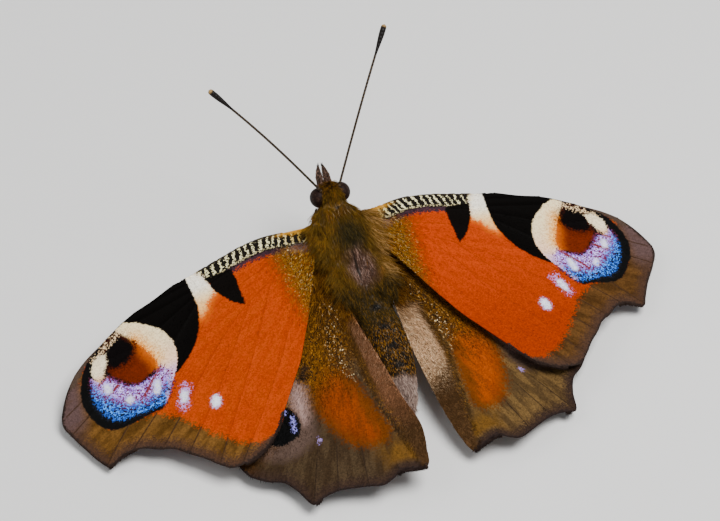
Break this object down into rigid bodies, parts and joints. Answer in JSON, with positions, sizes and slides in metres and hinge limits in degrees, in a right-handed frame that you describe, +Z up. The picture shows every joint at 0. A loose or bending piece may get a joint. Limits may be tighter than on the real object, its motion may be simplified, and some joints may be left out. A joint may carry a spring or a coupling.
{
  "type": "butterfly model",
  "caption": "Life-size still model of a peacock butterfly standing with its wings spread flat and its feelers raised.",
  "frame": {"origin": "on the floor under the middle of the whole butterfly's box", "axes": "+Y from tail to head, +X towards the butterfly's right wings, +Z up; the feet stand on z = 0"},
  "size_m": [0.0594, 0.0374, 0.0215],
  "materials": {
    "body_fur": "short golden brown fur over dark horn",
    "abdomen_fur": "dark brown velvet with golden flecks",
    "head_fur": "short brown fur",
    "dark_horn": "thin dark brown horn",
    "eye": "smooth dark brown, finely faceted",
    "feeler": "dark brown with faint pale rings and a pale tip",
    "palp_fur": "brown fur",
    "forewing_scales": "matt orange red scales with black, cream, blue and violet marks",
    "hindwing_scales": "matt grey brown and brick red scales with one blue eyespot",
    "leg_horn": "brown horn with fine hair"
  },
  "bodies": {
    "root": {"thorax": "body_fur", "abdomen": "abdomen_fur", "head": "head_fur", "proboscis": "dark_horn", "eye_left": "eye", "antenna_left": "feeler", "palp_left": "palp_fur", "forewing_left": "forewing_scales", "hindwing_left": "hindwing_scales", "foreleg_left": "leg_horn", "midleg_left": "leg_horn", "hindleg_left": "leg_horn", "eye_right": "eye", "antenna_right": "feeler", "palp_right": "palp_fur", "forewing_right": "forewing_scales", "hindwing_right": "hindwing_scales", "foreleg_right": "leg_horn", "midleg_right": "leg_horn", "hindleg_right": "leg_horn"}
  },
  "joints": []
}
